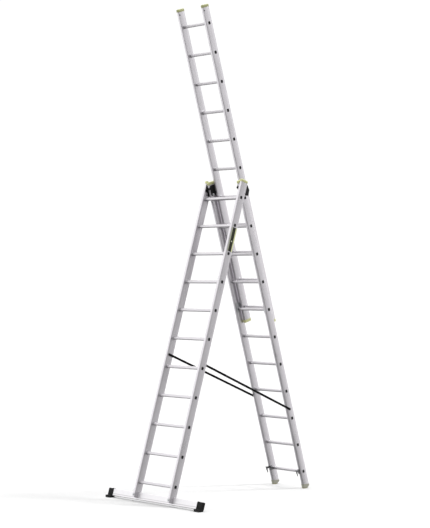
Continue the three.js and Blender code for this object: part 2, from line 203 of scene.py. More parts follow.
# ---- surface tones; a _TONES pair is (dark, light) ----
STILE_TONES = ((0.60, 0.581, 0.607), (0.73, 0.707, 0.738))
RUNG_TONES = ((0.62, 0.603, 0.625), (0.76, 0.74, 0.766))
BAR_TONES = ((0.66, 0.648, 0.665), (0.78, 0.768, 0.785))
SCRATCHED_TONE = (0.86, 0.845, 0.87)
SCRATCHED_BAR_TONE = (0.86, 0.85, 0.865)
POLISHED_EDGE_TONE = (0.84, 0.825, 0.85)
# painted shade laid over the side faces of the front section's stiles
PAINTED_SIDE_SHADE_TONE = (0.25, 0.24, 0.25)
# painted shade in the stile's grip grooves and side steps
STILE_GROOVE_SHADE_TONE = (0.20, 0.195, 0.215)
# painted shade in the dips between the rung's ribs
RUNG_RIB_SHADE_TONE = (0.27, 0.265, 0.28)
# painted shade in the bar's groove and along its lower edge
BAR_SHADE_TONE = (0.16, 0.158, 0.165)
ZINC_TONES = ((0.40, 0.41, 0.42), (0.54, 0.55, 0.56))
DULL_STEEL_TONES = ((0.17, 0.17, 0.175), (0.26, 0.26, 0.27))
BLACK_TONES = ((0.004, 0.004, 0.0045), (0.010, 0.010, 0.011))
YELLOW_TONES = ((0.53, 0.54, 0.25), (0.70, 0.71, 0.38))
# a darker copy of the yellow plastic: painted shade for the fly caps
SHADED_YELLOW_TONES = ((0.37, 0.38, 0.17), (0.50, 0.51, 0.26))
FOOT_TONES = ((0.34, 0.335, 0.27), (0.45, 0.445, 0.37))
FOOT_TREAD_TONE = (0.26, 0.25, 0.11)
FOOT_SCUFF_TONE = (0.13, 0.125, 0.11)
RUBBER_TONES = ((0.004, 0.004, 0.0045), (0.010, 0.010, 0.0105))
DUST_TONE = (0.14, 0.135, 0.125)
WEBBING_TONES = ((0.002, 0.002, 0.0023), (0.006, 0.006, 0.0066))
FUZZ_TONE = (0.012, 0.012, 0.0128)
LABEL_YELLOWS = ((0.66, 0.68, 0.34), (0.78, 0.80, 0.46))
LABEL_DARKS = ((0.004, 0.005, 0.002), (0.036, 0.042, 0.010))
LABEL_SPOT_TONE = (0.66, 0.68, 0.52)
LABEL_PALE_TONE = (0.40, 0.41, 0.31)

# ---- how much of a tone shows, from 0 to 1 ----
# share of painted shade on each section's stile side faces
SIDE_SHADE_SHARE = {"front": 0.24, "rear": 0.0, "fly": 0.0}
GRIP_GROOVE_SHARE = 0.45
SIDE_STEP_SHARE = 0.6
# how strongly painted shade darkens the stile's grooves and side steps
STILE_GROOVE_SHADE_SHARE = 0.65
POLISHED_EDGE_SHARE = 0.5
STILE_SCRATCH_SHARE = 0.25
RUNG_SCRATCH_SHARE = 0.3
# how strongly painted shade darkens the dips between the rung's ribs
RUNG_RIB_SHADE_SHARE = 0.45
BAR_SCRATCH_SHARE = 0.3
# how strongly painted shade darkens the bar's groove and its lower edge
BAR_GROOVE_SHADE_SHARE = 0.35
BAR_LOW_SHADE_SHARE = 0.6
RUBBED_SHARE = 0.22
FOOT_SCUFF_SHARE = 0.4
DUST_SHARE = 0.2

# ---- grain of drawn metal: waves per metre along x, y and z, by the axis it is drawn along ----
DIE_LINES = {0: (5, 1100, 1100), 2: (1100, 1100, 5)}
SCRATCHES = {0: (30, 420, 420), 2: (420, 420, 30)}
SCRATCH_STEP = (0.66, 0.74)
DIE_LINE_DEPTH = 0.00012
STILE_CUT_DEPTH = 0.0006
RUNG_LINE_DEPTH = 0.0001
RUNG_RIB_DEPTH = 0.0005

# ---- light and floor; a pair says between which heights, or facings, it changes ----
FRONT_LIGHT = 1.45
FLOOR_LIGHT = 0.30
TOP_LIGHT = 0.3
SHADE_TOWARDS = (0.93, -0.36, 0.0)
SHADE_LOW = 0.23
SHADE_HIGH = 0.58
HORIZON = (-0.42, -0.33)
SHADE_RISE = (-0.35, 0.45)
SHADE_FACING = (-0.2, 0.75)
TOP_RISE = (0.3, 0.95)
FLOOR_TONE = 0.632
FLOOR_MOTTLE = 0.01
KEY_FROM = (0.6, 0.7, 1.3)
KEY_SPREAD = math.radians(9)
KEY_STRENGTH = 1.2


# ---- where things are ----
def middle(node):
    low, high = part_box(node)
    return (low + high) / 2


class Section:
    """One ladder section's own axes: across it, through its stiles towards the rear, and up its stiles."""

    def __init__(self, name):
        self.name = name
        self.body = f"{name}_section"
        self.low = middle(f"{name}_rung_{RUNGS:02d}")
        top = middle(f"{name}_rung_01")
        self.pitch = (top - self.low).length / (RUNGS - 1)
        self.up = (top - self.low).normalized()
        self.through = self.up.cross(ACROSS)
        self.lean = -math.atan2(self.up.y, self.up.z)
        self.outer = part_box(f"{name}_rung_01")[1].x
        self.inner = self.outer - STILE_THICKNESS
        self.centre = (self.outer + self.inner) / 2

    def at(self, x, through, up):
        """A point; up is measured from the middle of the lowest rung."""
        return self.low + ACROSS * x + self.through * through + self.up * up

    def rung(self, number):
        """How far rung number, counted from the top, is above the lowest one."""
        return self.pitch * (RUNGS - number)

    def place_of(self, point):
        """The through and up measures of a point."""
        offset = Vector(point) - self.low
        return offset.dot(self.through), offset.dot(self.up)


FRONT = Section("front")
REAR = Section("rear")
FLY = Section("fly")
SECTIONS = (FRONT, REAR, FLY)
PIVOT = next(j for j in frame["joints"] if j["name"] == "frame_hinge")["pos_m"]


# ---- mesh building: a shape is a pair (points, faces) ----
def loft(rings, loop=False):
    """Skin over rings of equally many points, closed at both ends, or joined end to start."""
    count = len(rings[0])
    points = [point for ring in rings for point in ring]
    faces = []
    for r in range(len(rings) if loop else len(rings) - 1):
        a = r * count
        b = (r + 1) % len(rings) * count
        faces += [(a + i, a + (i + 1) % count, b + (i + 1) % count, b + i) for i in range(count)]
    if not loop:
        faces.append(tuple(reversed(range(count))))
        faces.append(tuple(range(len(points) - count, len(points))))
    return points, faces


def joined(shapes):
    points, faces = [], []
    for shape_points, shape_faces in shapes:
        start = len(points)
        points += shape_points
        faces += [tuple(start + i for i in face) for face in shape_faces]
    return points, faces


def rounded_outline(width, height, radius, steps=6):
    """Points round a rectangle with round corners, as (across, along) pairs."""
    points = []
    for quarter, (sx, sy) in enumerate(((1, 1), (-1, 1), (-1, -1), (1, -1))):
        for step in range(steps + 1):
            angle = math.pi / 2 * (quarter + step / steps)
            x = sx * (width / 2 - radius) + radius * math.cos(angle)
            y = sy * (height / 2 - radius) + radius * math.sin(angle)
            points.append((x, y))
    return points


def turned(centre, axis, profile, sides=32):
    """A body of revolution from (radius, height) pairs; height runs along axis from centre."""
    axis = Vector(axis).normalized()
    first = axis.orthogonal().normalized()
    second = axis.cross(first)
    rings = []
    for radius, height in profile:
        ring = []
        for i in range(sides):
            angle = 2 * math.pi * i / sides
            spoke = first * math.cos(angle) + second * math.sin(angle)
            ring.append(Vector(centre) + axis * height + spoke * radius)
        rings.append(ring)
    return loft(rings)


def dome(radius, height, steps=5):
    """Profile of a rivet head: a short rim and a round top."""
    rim = height * DOME_RIM
    arc = [math.pi / 2 * i / steps for i in range(steps)]
    return [(radius, 0), *((radius * math.cos(a), rim + (height - rim) * math.sin(a)) for a in arc),
            (radius * DOME_TIP, height)]


def hex_bolt(centre, axis, radius, height):
    """A washer with a chamfered six-sided head on it."""
    washer = [(radius * wide, height * high) for wide, high in WASHER_SHAPE]
    head = [(radius * wide, height * high) for wide, high in HEAD_SHAPE]
    return joined([turned(centre, axis, washer), turned(centre, axis, head, sides=6)])


def piece(name, shape, material, body):
    """Makes one object from a shape, smooth except at sharp edges, riding on a body."""
    mesh = bpy.data.meshes.new(name)
    mesh.from_pydata([tuple(p) for p in shape[0]], [], shape[1])
    work = bmesh.new()
    work.from_mesh(mesh)
    bmesh.ops.recalc_face_normals(work, faces=work.faces)
    work.to_mesh(mesh)
    work.free()
    mesh.shade_smooth()
    mesh.set_sharp_from_angle(angle=PIECE_SHARP_ANGLE)
    mesh.materials.append(material)
    made = bpy.data.objects.new(name, mesh)
    bpy.context.scene.collection.objects.link(made)
    if body:
        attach(made, body)
    return made


# ---- materials ----
class Recipe:
    """A node material under construction; each method adds a node and gives back its output."""

    def __init__(self, name):
        self.material = bpy.data.materials.new(name)
        self.material.use_nodes = True
        self.nodes = self.material.node_tree.nodes
        self.links = self.material.node_tree.links
        self.shader = self.nodes["Principled BSDF"]

    def feed(self, socket, value):
        if isinstance(value, bpy.types.NodeSocket):
            self.links.new(value, socket)
        else:
            socket.default_value = value

    def math(self, operation, first, second=0.0):
        node = self.nodes.new("ShaderNodeMath")
        node.operation = operation
        self.feed(node.inputs[0], first)
        self.feed(node.inputs[1], second)
        return node.outputs[0]

    def ramp(self, value, low, high, to_low=0.0, to_high=1.0):
        """A smooth step of value from low to high."""
        node = self.nodes.new("ShaderNodeMapRange")
        node.interpolation_type = "SMOOTHSTEP"
        self.feed(node.inputs["Value"], value)
        self.feed(node.inputs["From Min"], low)
        self.feed(node.inputs["From Max"], high)
        self.feed(node.inputs["To Min"], to_low)
        self.feed(node.inputs["To Max"], to_high)
        return node.outputs["Result"]

    def place(self, origin=(0, 0, 0), turn=0.0):
        """Coordinates in metres fixed to the piece, from origin, turned about X."""
        source = self.nodes.new("ShaderNodeTexCoord")
        node = self.nodes.new("ShaderNodeMapping")
        node.vector_type = "TEXTURE"
        self.links.new(source.outputs["Object"], node.inputs["Vector"])
        node.inputs["Location"].default_value = origin
        node.inputs["Rotation"].default_value = (turn, 0, 0)
        return node.outputs["Vector"]

    def stretched(self, place, per_metre):
        node = self.nodes.new("ShaderNodeVectorMath")
        node.operation = "MULTIPLY"
        self.links.new(place, node.inputs[0])
        node.inputs[1].default_value = per_metre
        return node.outputs[0]

    def axes(self, place):
        node = self.nodes.new("ShaderNodeSeparateXYZ")
        self.links.new(place, node.inputs[0])
        return node.outputs

    def noise(self, place, per_metre, detail=3.0):
        node = self.nodes.new("ShaderNodeTexNoise")
        self.links.new(self.stretched(place, per_metre), node.inputs["Vector"])
        node.inputs["Scale"].default_value = 1.0
        node.inputs["Detail"].default_value = detail
        return node.outputs["Fac"]

    def cells(self, place, per_metre):
        node = self.nodes.new("ShaderNodeTexVoronoi")
        self.links.new(self.stretched(place, per_metre), node.inputs["Vector"])
        node.inputs["Scale"].default_value = 1.0
        return self.axes(node.outputs["Color"])[0]

    def colours(self, share, first, second):
        node = self.nodes.new("ShaderNodeMix")
        node.data_type = "RGBA"
        self.feed(node.inputs["Factor"], share)
        self.feed(node.inputs["A"], (*first, 1) if isinstance(first, tuple) else first)
        self.feed(node.inputs["B"], (*second, 1) if isinstance(second, tuple) else second)
        return node.outputs["Result"]

    def bump(self, height, depth, after=None):
        """Raises the surface by height times depth, in metres."""
        node = self.nodes.new("ShaderNodeBump")
        node.inputs["Distance"].default_value = depth
        self.links.new(height, node.inputs["Height"])
        if after is not None:
            self.links.new(after, node.inputs["Normal"])
        return node.outputs["Normal"]

    def finish(self, colour, roughness, normal, metallic=0.0, **constants):
        self.feed(self.shader.inputs["Base Color"], colour)
        self.feed(self.shader.inputs["Roughness"], roughness)
        self.feed(self.shader.inputs["Normal"], normal)
        self.shader.inputs["Metallic"].default_value = metallic
        for socket, value in constants.items():
            self.shader.inputs[socket.replace("_", " ")].default_value = value
        return self.material


def distance_from(recipe, value, place):
    return recipe.math("ABSOLUTE", recipe.math("SUBTRACT", value, place))


def drawn_finish(recipe, place, along):
    """Die lines, haze and handling scratches of drawn aluminium; along picks the drawing axis, 0 or 2."""
    lines = recipe.noise(place, DIE_LINES[along])
    haze = recipe.noise(place, (9, 9, 4), detail=5.0)
    scratches = recipe.ramp(recipe.noise(place, SCRATCHES[along], detail=2.0), *SCRATCH_STEP)
    return lines, haze, scratches


def stile_aluminium(section):
    """Satin extrusion: die lines up the stile, two grip grooves in each narrow face, polished edges;
    painted shade darkens the grooves, the side steps and the front section's side faces.
    """
    recipe = Recipe(f"{section.name}_stile_aluminium")
    place = recipe.place(section.low, section.lean)
    x, through, _ = recipe.axes(place)
    lines, haze, scratches = drawn_finish(recipe, place, along=2)
    off_centre = distance_from(recipe, recipe.math("ABSOLUTE", x), section.centre)
    off_middle = recipe.math("ABSOLUTE", through)
    on_narrow = recipe.ramp(off_middle, *NARROW_FACE_EDGE)
    off_groove = distance_from(recipe, off_centre, GRIP_GROOVE_OFF_CENTRE)
    narrow_groove = recipe.ramp(off_groove, *GRIP_GROOVE_EDGE)
    grooves = recipe.math("MULTIPLY", recipe.math("MULTIPLY", on_narrow, narrow_groove), GRIP_GROOVE_SHARE)
    side_step = recipe.ramp(distance_from(recipe, off_middle, SIDE_STEP_OFF_MIDDLE), *SIDE_STEP_EDGE)
    on_side = recipe.ramp(off_centre, *SIDE_FACE_EDGE)
    steps = recipe.math("MULTIPLY", side_step, on_side)
    # one groove mask shapes the bump and also carries the painted shade
    groove_depth_and_shade = recipe.math("MAXIMUM", grooves, recipe.math("MULTIPLY", steps, SIDE_STEP_SHARE))
    near_narrow = recipe.ramp(off_middle, *NARROW_WEAR_EDGE)
    edge = recipe.math("MULTIPLY", near_narrow, recipe.ramp(off_centre, *SIDE_WEAR_EDGE))
    tone = recipe.colours(haze, *STILE_TONES)
    # painted shade: the front section's stile side faces are darkened
    side_shade = recipe.math("MULTIPLY", on_side, SIDE_SHADE_SHARE[section.name])
    tone = recipe.colours(side_shade, tone, PAINTED_SIDE_SHADE_TONE)
    tone = recipe.colours(recipe.math("MULTIPLY", scratches, STILE_SCRATCH_SHARE), tone, SCRATCHED_TONE)
    tone = recipe.colours(recipe.math("MULTIPLY", edge, POLISHED_EDGE_SHARE), tone, POLISHED_EDGE_TONE)
    # painted shade: the grooves and side steps are darkened
    tone = recipe.colours(recipe.math("MULTIPLY", groove_depth_and_shade, STILE_GROOVE_SHADE_SHARE), tone, STILE_GROOVE_SHADE_TONE)
    roughness = recipe.ramp(recipe.math("ADD", lines, haze), 0.7, 1.3, 0.25, 0.38)
    share = recipe.math("DIVIDE", through, STILE_DEPTH / 2)
    share = recipe.math("MAXIMUM", share, CROWN_STARTS[section.name])
    crown = recipe.math("SUBTRACT", 1.0, recipe.math("MULTIPLY", share, share))
    normal = recipe.bump(lines, DIE_LINE_DEPTH)
    normal = recipe.bump(crown, SIDE_CROWN[section.name], normal)
    normal = recipe.bump(recipe.math("SUBTRACT", 1.0, groove_depth_and_shade), STILE_CUT_DEPTH, normal)
    return recipe.finish(tone, roughness, normal, metallic=0.9)


def rung_aluminium(section):
    """Extruded rung: fine grip ribs along its top and bottom, wider ones on its faces; painted shade
    darkens the dips between the ribs.
    """
    recipe = Recipe(f"{section.name}_rung_aluminium")
    place = recipe.place(section.low, section.lean)
    _, through, up = recipe.axes(place)
    lines, haze, scratches = drawn_finish(recipe, place, along=0)
    turns = recipe.math("ADD", recipe.math("DIVIDE", up, section.pitch), 0.5)
    off_rung = recipe.math("SUBTRACT", recipe.math("FRACT", turns), 0.5)
    local = recipe.math("MULTIPLY", off_rung, section.pitch)
    on_tread = recipe.ramp(recipe.math("ABSOLUTE", local), *TREAD_EDGE)
    tread_wave = recipe.math("SINE", recipe.math("MULTIPLY", through, 2 * math.pi / TREAD_RIB_PITCH))
    face_wave = recipe.math("SINE", recipe.math("MULTIPLY", local, 2 * math.pi / FACE_RIB_PITCH))
    tread_ribs = recipe.math("MULTIPLY", recipe.ramp(tread_wave, -0.6, 0.6), on_tread)
    on_face = recipe.math("SUBTRACT", 1.0, on_tread)
    face_ribs = recipe.math("MULTIPLY", recipe.ramp(face_wave, -0.9, 0.2), on_face)
    ribs = recipe.math("ADD", tread_ribs, face_ribs)
    # mask of the dips between ribs, which carry painted shade
    rib_hollow_shade = recipe.math("SUBTRACT", 1.0, ribs)
    tone = recipe.colours(haze, *RUNG_TONES)
    tone = recipe.colours(recipe.math("MULTIPLY", scratches, RUNG_SCRATCH_SHARE), tone, SCRATCHED_TONE)
    # painted shade: the dips between ribs are darkened
    tone = recipe.colours(recipe.math("MULTIPLY", rib_hollow_shade, RUNG_RIB_SHADE_SHARE), tone, RUNG_RIB_SHADE_TONE)
    roughness = recipe.ramp(recipe.math("ADD", lines, haze), 0.7, 1.3, 0.32, 0.48)
    normal = recipe.bump(lines, RUNG_LINE_DEPTH)
    normal = recipe.bump(ribs, RUNG_RIB_DEPTH, normal)
    return recipe.finish(tone, roughness, normal, metallic=0.9)


def bar_aluminium():
    """The stabiliser bar: brighter satin extrusion, with painted shade in its groove and along its lower
    edge.
    """
    recipe = Recipe("bar_aluminium")
    place = recipe.place(middle("stabiliser_bar"), FRONT.lean)
    up = recipe.axes(place)[2]
    lines, haze, scratches = drawn_finish(recipe, place, along=0)
    groove = recipe.ramp(distance_from(recipe, up, -BAR_GROOVE_LOW), *BAR_GROOVE_EDGE)
    low_edge = recipe.ramp(up, *BAR_LOW_EDGE)
    # painted shade: the bar's groove and lower edge are darkened
    groove_shade = recipe.math("MULTIPLY", groove, BAR_GROOVE_SHADE_SHARE)
    bar_shade = recipe.math("MAXIMUM", groove_shade, recipe.math("MULTIPLY", low_edge, BAR_LOW_SHADE_SHARE))
    tone = recipe.colours(haze, *BAR_TONES)
    tone = recipe.colours(recipe.math("MULTIPLY", scratches, BAR_SCRATCH_SHARE), tone, SCRATCHED_BAR_TONE)
    tone = recipe.colours(bar_shade, tone, BAR_SHADE_TONE)
    roughness = recipe.ramp(recipe.math("ADD", lines, haze), 0.7, 1.3, 0.36, 0.5)
    return recipe.finish(tone, roughness, recipe.bump(lines, DIE_LINE_DEPTH), metallic=0.85)


def moulded_plastic(name, tones, roughness, grain, gloss):
    """Moulded plastic with a spark-eroded grain, faint flow marks and rubbed patches."""
    recipe = Recipe(name)
    place = recipe.place()
    grit = recipe.noise(place, (grain, grain, grain), detail=2.0)
    flow = recipe.noise(place, (14, 14, 60), detail=4.0)
    rubbed = recipe.ramp(recipe.noise(place, (70, 70, 70), detail=4.0), 0.56, 0.7)
    pale = tuple(min(1, c * 1.4 + 0.004) for c in tones[1])
    tone = recipe.colours(flow, *tones)
    tone = recipe.colours(recipe.math("MULTIPLY", rubbed, RUBBED_SHARE), tone, pale)
    spread = recipe.ramp(recipe.math("ADD", grit, rubbed), 0.3, 1.5, roughness + 0.08, roughness - 0.1)
    normal = recipe.bump(grit, 0.00025)
    return recipe.finish(tone, spread, normal, Specular_IOR_Level=gloss)


def foot_plastic():
    """Grey foot moulding on an olive tread layer, scuffed near the floor."""
    recipe = Recipe("foot_plastic")
    place = recipe.place()
    grit = recipe.noise(place, (700, 700, 700), detail=2.0)
    cloud = recipe.noise(place, (30, 30, 30), detail=5.0)
    height = recipe.axes(place)[2]
    tread = recipe.ramp(height, FOOT_TREAD + FOOT_TREAD_BLUR, FOOT_TREAD - FOOT_TREAD_BLUR)
    scuff = recipe.math("MULTIPLY", recipe.ramp(height, *FOOT_SCUFF_EDGE), recipe.ramp(cloud, 0.45, 0.65))
    tone = recipe.colours(cloud, *FOOT_TONES)
    tone = recipe.colours(tread, tone, FOOT_TREAD_TONE)
    tone = recipe.colours(recipe.math("MULTIPLY", scuff, FOOT_SCUFF_SHARE), tone, FOOT_SCUFF_TONE)
    roughness = recipe.ramp(grit, 0.3, 0.7, 0.45, 0.62)
    return recipe.finish(tone, roughness, recipe.bump(grit, 0.0003), Specular_IOR_Level=0.4)


def rubber():
    """Black rubber, matt, pebbled and moulded in upright ribs, dusty towards the floor."""
    recipe = Recipe("rubber")
    place = recipe.place()
    pebble = recipe.noise(place, (900, 900, 900), detail=2.0)
    wear = recipe.noise(place, (60, 60, 60), detail=5.0)
    across, _, height = recipe.axes(place)
    ribs = recipe.math("SINE", recipe.math("MULTIPLY", across, 2 * math.pi / SHOE_RIB_PITCH))
    dust = recipe.math("MULTIPLY", recipe.ramp(height, *SHOE_DUST_EDGE), recipe.ramp(wear, 0.4, 0.7))
    tone = recipe.colours(wear, *RUBBER_TONES)
    tone = recipe.colours(recipe.math("MULTIPLY", dust, DUST_SHARE), tone, DUST_TONE)
    roughness = recipe.ramp(pebble, 0.3, 0.7, 0.62, 0.8)
    normal = recipe.bump(pebble, 0.0004)
    normal = recipe.bump(recipe.ramp(ribs, -0.5, 0.5), 0.0009, normal)
    return recipe.finish(tone, roughness, normal, Specular_IOR_Level=0.2)


def plated_steel(name, tones):
    """Plated steel: faint crystal spangle under a brushed grain, stained here and there."""
    recipe = Recipe(name)
    place = recipe.place()
    spangle = recipe.cells(place, (260, 260, 260))
    grain = recipe.noise(place, (1200, 120, 1200))
    stain = recipe.noise(place, (90, 90, 90), detail=5.0)
    stained = tuple(c * 0.5 for c in tones[0])
    tone = recipe.colours(spangle, *tones)
    tone = recipe.colours(recipe.ramp(stain, 0.58, 0.75, 0.0, 0.5), tone, stained)
    roughness = recipe.ramp(recipe.math("ADD", grain, stain), 0.7, 1.3, 0.3, 0.5)
    return recipe.finish(tone, roughness, recipe.bump(grain, 0.0001), metallic=0.95)


def woven_webbing(name, slope):
    """Black polyester webbing: a twill of fine yarns, turned to the strap's slope."""
    recipe = Recipe(name)
    place = recipe.place((0, 0, 0), slope)
    _, along, over = recipe.axes(place)
    rising = recipe.math("ADD", along, over)
    falling = recipe.math("SUBTRACT", along, over)
    ribs = recipe.math("SINE", recipe.math("MULTIPLY", rising, 2 * math.pi / TWILL_RIB_PITCH))
    yarns = recipe.math("SINE", recipe.math("MULTIPLY", falling, 2 * math.pi / TWILL_YARN_PITCH))
    weave = recipe.ramp(recipe.math("ADD", ribs, yarns), -1.6, 1.6)
    fuzz = recipe.noise(place, (2500, 2500, 2500), detail=2.0)
    tone = recipe.colours(weave, *WEBBING_TONES)
    tone = recipe.colours(recipe.ramp(fuzz, 0.55, 0.8, 0.0, 0.4), tone, FUZZ_TONE)
    roughness = recipe.ramp(weave, 0, 1, 0.85, 0.68)
    normal = recipe.bump(weave, 0.0004)
    normal = recipe.bump(fuzz, 0.0001, normal)
    return recipe.finish(tone, roughness, normal, Sheen_Weight=0.02, Sheen_Roughness=0.5,
                         Specular_IOR_Level=0.1)


def sticker(section, centre_up):
    """A plain vinyl label: pale strip, dark panel with slanted bars and one round spot, yellow stripe."""
    recipe = Recipe("sticker")
    place = recipe.place(section.at(0, 0, centre_up), section.lean)
    _, through, up = recipe.axes(place)
    past_strip = recipe.ramp(through, LABEL_PANEL[0] - LABEL_BLUR, LABEL_PANEL[0] + LABEL_BLUR)
    stripe = recipe.ramp(through, LABEL_PANEL[1] - LABEL_BLUR, LABEL_PANEL[1] + LABEL_BLUR)
    slant = recipe.math("ADD", up, recipe.math("MULTIPLY", through, LABEL_BAR_SLANT))
    waves = recipe.math("SINE", recipe.math("MULTIPLY", slant, 2 * math.pi / LABEL_BAR_PITCH))
    panel_middle = (LABEL_PANEL[0] + LABEL_PANEL[1]) / 2
    off_middle = distance_from(recipe, through, panel_middle)
    in_band = recipe.ramp(off_middle, *LABEL_BAND_EDGE)
    in_length = recipe.ramp(recipe.math("ABSOLUTE", up), *LABEL_BAND_ENDS)
    in_area = recipe.math("MULTIPLY", in_band, in_length)
    bars = recipe.math("MULTIPLY", recipe.ramp(waves, 0.35, 0.5), in_area)
    off_spot = distance_from(recipe, up, -LABEL_SPOT_LOW)
    radius = recipe.math("SQRT", recipe.math("ADD", recipe.math("MULTIPLY", off_spot, off_spot),
                                             recipe.math("MULTIPLY", off_middle, off_middle)))
    spot = recipe.ramp(radius, LABEL_SPOT_RADIUS + LABEL_SPOT_BLUR, LABEL_SPOT_RADIUS - LABEL_SPOT_BLUR)
    age = recipe.noise(place, (120, 120, 120), detail=5.0)
    yellow = recipe.colours(age, *LABEL_YELLOWS)
    panel = recipe.colours(bars, *LABEL_DARKS)
    panel = recipe.colours(spot, panel, LABEL_SPOT_TONE)
    tone = recipe.colours(past_strip, LABEL_PALE_TONE, panel)
    tone = recipe.colours(stripe, tone, yellow)
    roughness = recipe.ramp(age, 0.35, 0.65, 0.28, 0.42)
    return recipe.finish(tone, roughness, recipe.bump(age, 0.00008), Specular_IOR_Level=0.3)


# ---- edges of the CAD parts ----
def smoothing_group():
    """Welds the corners of a solid, drops its flat normals and smooths all but its sharp edges."""
    group = bpy.data.node_groups.new("weld_and_smooth", "GeometryNodeTree")
    group.interface.new_socket("Geometry", in_out="INPUT", socket_type="NodeSocketGeometry")
    group.interface.new_socket("Geometry", in_out="OUTPUT", socket_type="NodeSocketGeometry")
    make = group.nodes.new
    start, end = make("NodeGroupInput"), make("NodeGroupOutput")
    weld, drop = make("GeometryNodeMergeByDistance"), make("GeometryNodeRemoveAttribute")
    faces, edges = make("GeometryNodeSetShadeSmooth"), make("GeometryNodeSetShadeSmooth")
    angle, sharp = make("GeometryNodeInputMeshEdgeAngle"), make("FunctionNodeCompare")
    weld.inputs["Distance"].default_value = WELD_DISTANCE
    drop.inputs["Name"].default_value = "custom_normal"
    edges.domain = "EDGE"
    edges.inputs["Shade Smooth"].default_value = False
    sharp.operation = "GREATER_THAN"
    sharp.inputs["B"].default_value = CAD_SHARP_ANGLE
    chain = (start, weld, drop, faces, edges, end)
    for before, after in zip(chain, chain[1:]):
        group.links.new(before.outputs["Geometry"], after.inputs["Geometry"])
    group.links.new(angle.outputs["Unsigned Angle"], sharp.inputs["A"])
    group.links.new(sharp.outputs["Result"], edges.inputs["Selection"])
    return group


def refine(node, material, group, edge_radius):
    """Gives a CAD part its material, smooth rounds and softly broken edges."""
    part = frame["nodes"][node]
    part.data.materials.clear()
    part.data.materials.append(material)
    part.modifiers.new("smooth", "NODES").node_group = group
    if edge_radius:
        bevel = part.modifiers.new("edges", "BEVEL")
        bevel.width = edge_radius
        bevel.segments = BEVEL_SEGMENTS
        bevel.limit_method = "ANGLE"
        bevel.angle_limit = CAD_SHARP_ANGLE
        bevel.use_clamp_overlap = True


# ---- rung ends ----
def rung_ring(section, number, x, grow):
    """The rung's outline, made bigger by grow, at x across the section."""
    outline = rounded_outline(RUNG_DEPTH + 2 * grow, RUNG_HEIGHT + 2 * grow, RUNG_CORNER + grow, steps=5)
    return [section.at(x, through, section.rung(number) + up) for through, up in outline]


def collar(section, number, face, rise):
    """The bead rolled against a stile face round the rung; rise is signed, away from the face."""
    half_circle = [math.pi * i / COLLAR_STEPS for i in range(COLLAR_STEPS + 1)]
    rings = []
    for angle in half_circle:
        grow = COLLAR_WIDTH * (0.5 - 0.5 * math.cos(angle))
        rings.append(rung_ring(section, number, face + rise * math.sin(angle), grow))
    return loft(rings, loop=True)


def rung_plug(section, number, side, covered):
    """A plastic plug in the open end of the rung; its dished flange stands on the stile unless covered."""
    wall = -RUNG_WALL - PLUG_GAP
    face = section.outer - PLUG_RECESS if covered else section.outer + PLUG_FLANGE
    rim = wall if covered else PLUG_OVERLAP
    steps = [(section.outer - PLUG_LENGTH, wall)]
    if not covered:
        steps += [(section.outer + PLUG_GAP, wall), (section.outer + PLUG_GAP, rim)]
    steps += [(face + out, rim + grow) for out, grow in PLUG_DISH]
    return loft([rung_ring(section, number, side * x, grow) for x, grow in steps])


def add_rung_ends(section, collar_material, plug_material):
    for number in range(1, RUNGS + 1):
        label = f"{section.name}_rung_{number:02d}"
        covered = section is FLY and number == RUNGS
        collars = [collar(section, number, s * section.inner, -s * COLLAR_RISE) for s in SIDES.values()]
        piece(f"{label}_collars", joined(collars), collar_material, section.body)
        plugs = [rung_plug(section, number, side, covered) for side in SIDES.values()]
        piece(f"{label}_plugs", joined(plugs), plug_material, section.body)


# ---- top caps ----
def stile_ring(section, side, up, inset):
    """The stile's outline, pulled in by inset, at a height up the section."""
    corner = min(STILE_CORNER, STILE_THICKNESS / 2 - inset - CORNER_SLACK)
    outline = rounded_outline(STILE_THICKNESS - 2 * inset, STILE_DEPTH - 2 * inset, corner)
    return [section.at(side * section.centre + x, through, up) for x, through in outline]


def add_top_caps(section, material):
    """Smoothly rounded caps; those of the front and fly sections stand for their faceted CAD solids."""
    base = section.rung(1) + CAP_ABOVE_TOP_RUNG + PLUG_GAP
    straight = CAP_HEIGHT - CAP_ROUND
    arc = [math.pi / 2 * i / CAP_ROUND_STEPS for i in range(CAP_ROUND_STEPS + 1)]
    for name, side in SIDES.items():
        rings = [stile_ring(section, side, base, 0),
                 stile_ring(section, side, base + CAP_LIP_START, -CAP_LIP)]
        for angle in arc:
            inset = CAP_ROUND * (1 - math.cos(angle)) - CAP_LIP
            rings.append(stile_ring(section, side, base + straight + CAP_ROUND * math.sin(angle), inset))
        cap = piece(f"{section.name}_cap_{name}", loft(rings), material, section.body)
        node = f"{section.name}_top_cap_{name}"
        if node in frame["nodes"]:
            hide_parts(node)


# ---- bolts, rivets and pins ----
def add_bar_bolts(material):
    """One big bolt through each front stile foot into the stabiliser bar."""
    _, bar_up = FRONT.place_of(middle("stabiliser_bar"))
    for name, side in SIDES.items():
        centre = FRONT.at(side * FRONT.centre, -STILE_DEPTH / 2, bar_up + BOLT_ABOVE_BAR_MIDDLE)
        head = hex_bolt(centre, -FRONT.through, *BAR_BOLT)
        piece(f"bar_bolt_{name}", head, material, FRONT.body)


